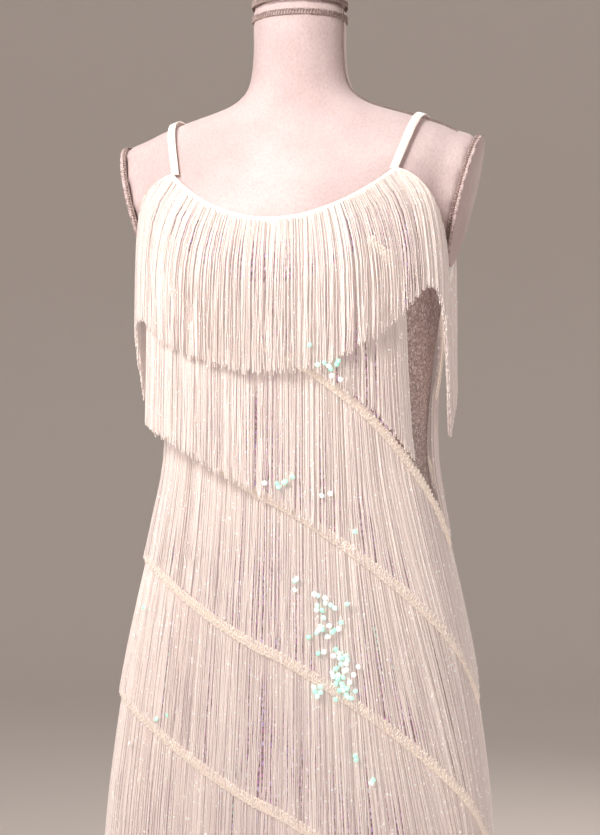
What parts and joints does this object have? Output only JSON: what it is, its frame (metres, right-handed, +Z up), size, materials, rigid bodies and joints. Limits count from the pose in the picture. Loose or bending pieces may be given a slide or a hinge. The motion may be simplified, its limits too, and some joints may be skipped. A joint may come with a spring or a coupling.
{
  "type": "fringed flapper dress on a limbless dress form",
  "caption": "Sleeveless shift dress with tilted rows of hanging chainette fringe over sequin cloth, on narrow straps, resting on a jersey-covered dress form with a round stand",
  "frame": {"origin": "on the floor under the middle of the round stand base", "axes": "+Z up through the pole and the neck, -Y is the front of the dress, +X is the wearer's left"},
  "size_m": [0.43, 0.43, 1.4863],
  "materials": {
    "sequin_cloth": "glossy",
    "fringe": "satin",
    "strap": "satin",
    "jersey": "matte",
    "stand": "satin"
  },
  "bodies": {
    "root": {"dress_front": "sequin_cloth", "dress_back": "sequin_cloth", "strap_left": "strap", "strap_right": "strap", "fringe_top_front": "fringe", "fringe_top_back": "fringe", "fringe_front_1": "fringe", "fringe_front_2": "fringe", "fringe_front_3": "fringe", "fringe_front_4": "fringe", "fringe_front_5": "fringe", "fringe_front_6": "fringe", "fringe_back_1": "fringe", "fringe_back_2": "fringe", "fringe_back_3": "fringe", "fringe_back_4": "fringe", "fringe_back_5": "fringe", "fringe_back_6": "fringe", "form_torso": "jersey", "form_neck_plate": "jersey", "form_arm_plate_left": "jersey", "form_arm_plate_right": "jersey", "stand_pole": "stand", "stand_base": "stand"}
  },
  "joints": []
}
